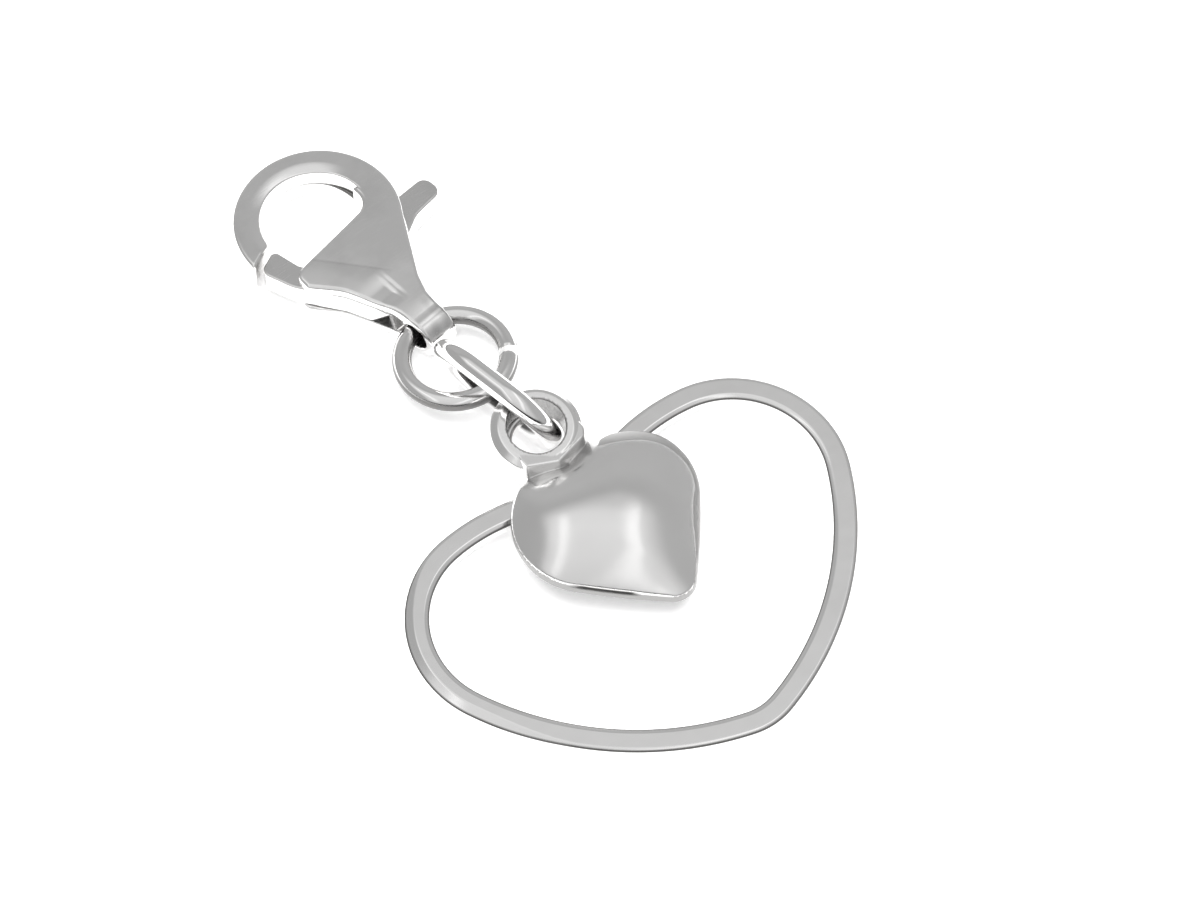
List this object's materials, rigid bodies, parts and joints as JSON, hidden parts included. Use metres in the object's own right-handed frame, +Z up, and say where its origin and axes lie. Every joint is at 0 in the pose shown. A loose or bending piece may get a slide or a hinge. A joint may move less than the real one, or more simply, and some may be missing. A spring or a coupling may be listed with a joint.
{
  "type": "double heart charm",
  "caption": "Open heart and small puffed heart pendants, linked by jump rings to a sprung lobster clasp.",
  "frame": {"origin": "centre of the charm's bounding box in plan, on the surface that it lies on", "axes": "+Z up from the surface, +Y along the charm from the hearts' tips to the clasp, +X to the thumb side of the clasp"},
  "size_m": [0.0218, 0.036, 0.005],
  "materials": {
    "clasp_silver": "cast silver, tumbled to a soft polish",
    "trigger_silver": "cast silver with a finely scratched face",
    "wire_silver": "drawn silver wire, bright",
    "heart_silver": "silver, high polish with light handling scratches"
  },
  "bodies": {
    "charm": {"clasp_body": "clasp_silver", "clasp_pin": "trigger_silver", "jump_ring_open": "wire_silver", "jump_ring_link": "wire_silver", "outline_heart": "heart_silver", "puffed_heart": "heart_silver"},
    "trigger": {"clasp_trigger": "trigger_silver"}
  },
  "joints": [
    {"name": "trigger_hinge", "type": "hinge", "parent": "charm", "child": "trigger", "pos_m": [-0.002, 0.01067, 0.0012], "axis": [0, 0, 1], "range_deg": [-25, 0], "stiffness_Nm_per_rad": 0.004, "springref_deg": 11.46}
  ]
}
